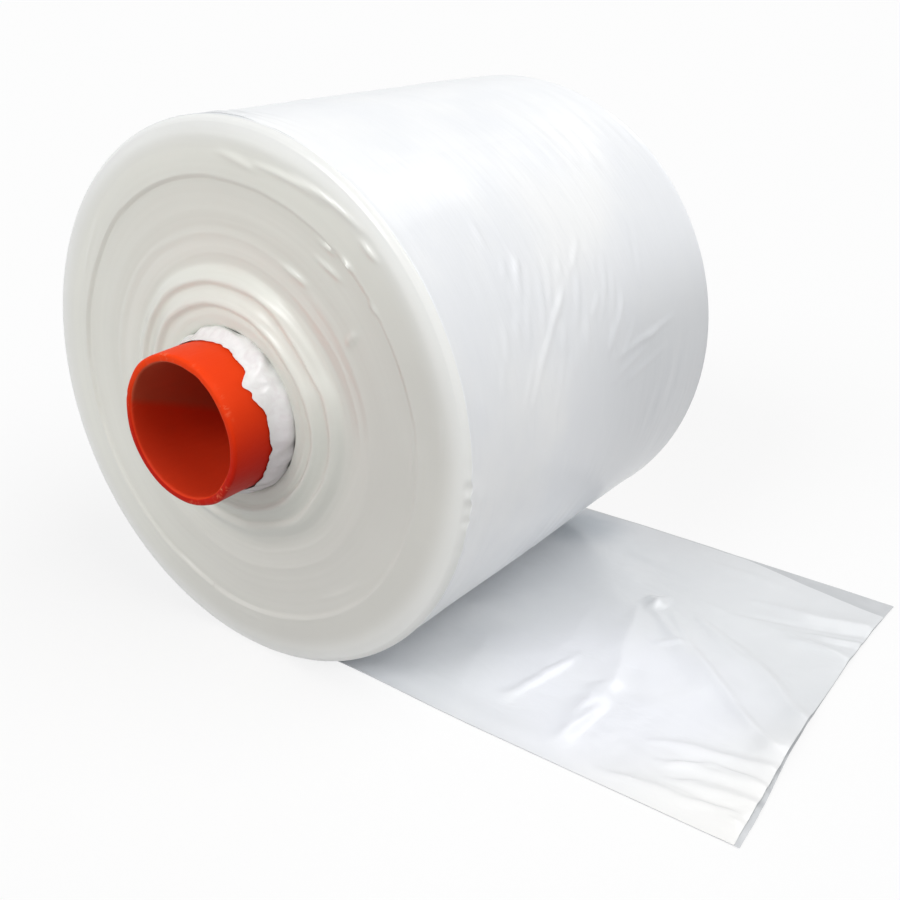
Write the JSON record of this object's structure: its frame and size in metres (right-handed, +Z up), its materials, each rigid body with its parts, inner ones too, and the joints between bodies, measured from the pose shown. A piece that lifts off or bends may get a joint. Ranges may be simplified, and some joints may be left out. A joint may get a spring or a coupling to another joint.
{
  "type": "bin bag roll",
  "caption": "Jumbo roll of folded clear-white plastic film for bin bags on a red plastic core, lying on its side with a stretch of film laid out.",
  "frame": {"origin": "on the floor under the middle of the wound film, below the roll's axis", "axes": "-Y along the core's axis towards the end with the torn starter wrap, +X along the floor towards the end of the tail, +Z up"},
  "size_m": [0.4683, 0.356, 0.3165],
  "materials": {
    "core_plastic": "worn gloss, moulded-in red orange",
    "torn_film": "crumpled glossy white film",
    "wound_film": "satin gloss, milky translucent polythene film"
  },
  "bodies": {
    "root": {"core_tube": "core_plastic", "starter_wrap": "torn_film", "film_roll": "wound_film"}
  },
  "joints": []
}
